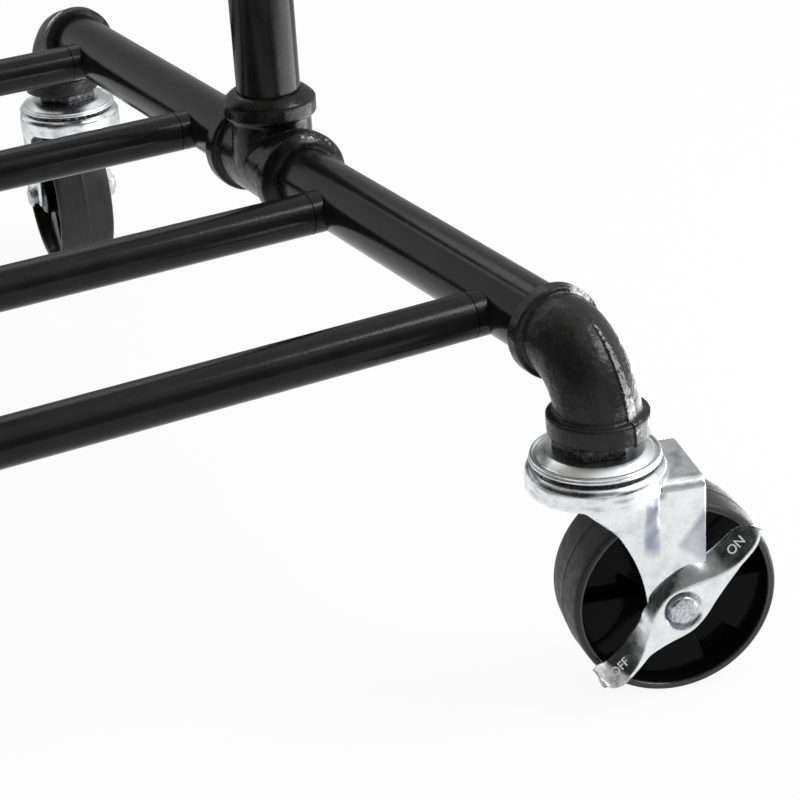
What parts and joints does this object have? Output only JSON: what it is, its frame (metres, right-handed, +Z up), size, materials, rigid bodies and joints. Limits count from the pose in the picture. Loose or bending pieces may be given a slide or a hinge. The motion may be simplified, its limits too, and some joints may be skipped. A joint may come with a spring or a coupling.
{
  "type": "bar cart",
  "caption": "Bar cart on swivel casters, with slatted lower tier, pipe posts with cast fittings and a wooden top board in a pipe ring.",
  "frame": {"origin": "on the floor, under the middle of the cart", "axes": "+X along the slat rods, to the right of the braked front casters; +Y along the end rails, to the back; +Z up"},
  "size_m": [0.8844, 0.6186, 0.8465],
  "materials": {
    "black_pipe": "satin",
    "cast_fitting": "painted, semi-gloss, rough casting",
    "black_bush": "semi-gloss",
    "black_strap": "satin",
    "board_wood": "oiled",
    "zinc_sheet": "bright zinc plate",
    "zinc_hardware": "zinc plate",
    "wheel_plastic": "matte tread, glossy dish"
  },
  "bodies": {
    "cart": {"base_tee_left": "cast_fitting", "base_tee_right": "cast_fitting", "base_elbow_a": "cast_fitting", "base_elbow_b": "cast_fitting", "base_elbow_c": "cast_fitting", "base_elbow_d": "cast_fitting", "base_rail_left": "black_pipe", "base_rail_right": "black_pipe", "slat_rod_1": "black_pipe", "slat_rod_2": "black_pipe", "slat_rod_3": "black_pipe", "slat_rod_4": "black_pipe", "slat_stubs": "black_pipe", "post_left": "black_pipe", "post_right": "black_pipe", "top_tee_left": "cast_fitting", "top_tee_right": "cast_fitting", "top_elbow_a": "cast_fitting", "top_elbow_b": "cast_fitting", "top_elbow_c": "cast_fitting", "top_elbow_d": "cast_fitting", "top_end_rail_left": "black_pipe", "top_end_rail_right": "black_pipe", "top_side_rail_front": "black_pipe", "top_side_rail_back": "black_pipe", "top_rod_1": "black_pipe", "top_rod_2": "black_pipe", "top_rod_3": "black_pipe", "top_rod_4": "black_pipe", "top_stubs": "black_pipe", "board": "board_wood", "board_straps": "black_strap", "board_screws": "zinc_hardware", "stem_bushes": "black_bush", "caster_stems": "zinc_hardware", "raceways": "zinc_sheet", "race_balls": "zinc_hardware"},
    "swivel_a": {"fork_a": "zinc_sheet", "axle_sleeve_a": "zinc_hardware", "axle_bolt_a": "zinc_hardware"},
    "roller_a": {"wheel_a": "wheel_plastic"},
    "brake_a": {"brake_lever_a": "zinc_sheet"},
    "swivel_b": {"fork_b": "zinc_sheet", "axle_sleeve_b": "zinc_hardware", "axle_bolt_b": "zinc_hardware"},
    "roller_b": {"wheel_b": "wheel_plastic"},
    "brake_b": {"brake_lever_b": "zinc_sheet"},
    "swivel_c": {"fork_c": "zinc_sheet", "axle_sleeve_c": "zinc_hardware", "axle_bolt_c": "zinc_hardware"},
    "roller_c": {"wheel_c": "wheel_plastic"},
    "swivel_d": {"fork_d": "zinc_sheet", "axle_sleeve_d": "zinc_hardware", "axle_bolt_d": "zinc_hardware"},
    "roller_d": {"wheel_d": "wheel_plastic"}
  },
  "joints": [
    {"name": "swivel_turn_a", "type": "hinge", "parent": "cart", "child": "swivel_a", "pos_m": [0.38, -0.247, 0.0903], "axis": [0, 0, 1], "continuous": true},
    {"name": "swivel_turn_b", "type": "hinge", "parent": "cart", "child": "swivel_b", "pos_m": [-0.38, -0.247, 0.0903], "axis": [0, 0, 1], "continuous": true},
    {"name": "swivel_turn_c", "type": "hinge", "parent": "cart", "child": "swivel_c", "pos_m": [0.38, 0.247, 0.0903], "axis": [0, 0, 1], "continuous": true},
    {"name": "swivel_turn_d", "type": "hinge", "parent": "cart", "child": "swivel_d", "pos_m": [-0.38, 0.247, 0.0903], "axis": [0, 0, 1], "continuous": true},
    {"name": "wheel_roll_a", "type": "hinge", "parent": "swivel_a", "child": "roller_a", "pos_m": [0.40313, -0.25341, 0.038], "axis": [-0.2672, -0.9636, 0], "continuous": true},
    {"name": "brake_press_a", "type": "hinge", "parent": "swivel_a", "child": "brake_a", "pos_m": [0.40313, -0.25341, 0.038], "axis": [-0.2672, -0.9636, 0], "range_deg": [-14, 0]},
    {"name": "wheel_roll_b", "type": "hinge", "parent": "swivel_b", "child": "roller_b", "pos_m": [-0.38293, -0.27082, 0.038], "axis": [-0.9925, 0.1219, 0], "continuous": true},
    {"name": "brake_press_b", "type": "hinge", "parent": "swivel_b", "child": "brake_b", "pos_m": [-0.38293, -0.27082, 0.038], "axis": [-0.9925, 0.1219, 0], "range_deg": [-14, 0]},
    {"name": "wheel_roll_c", "type": "hinge", "parent": "swivel_c", "child": "roller_c", "pos_m": [0.38293, 0.27082, 0.038], "axis": [0.9925, -0.1219, 0], "continuous": true},
    {"name": "wheel_roll_d", "type": "hinge", "parent": "swivel_d", "child": "roller_d", "pos_m": [-0.40313, 0.25341, 0.038], "axis": [0.2672, 0.9636, 0], "continuous": true}
  ]
}
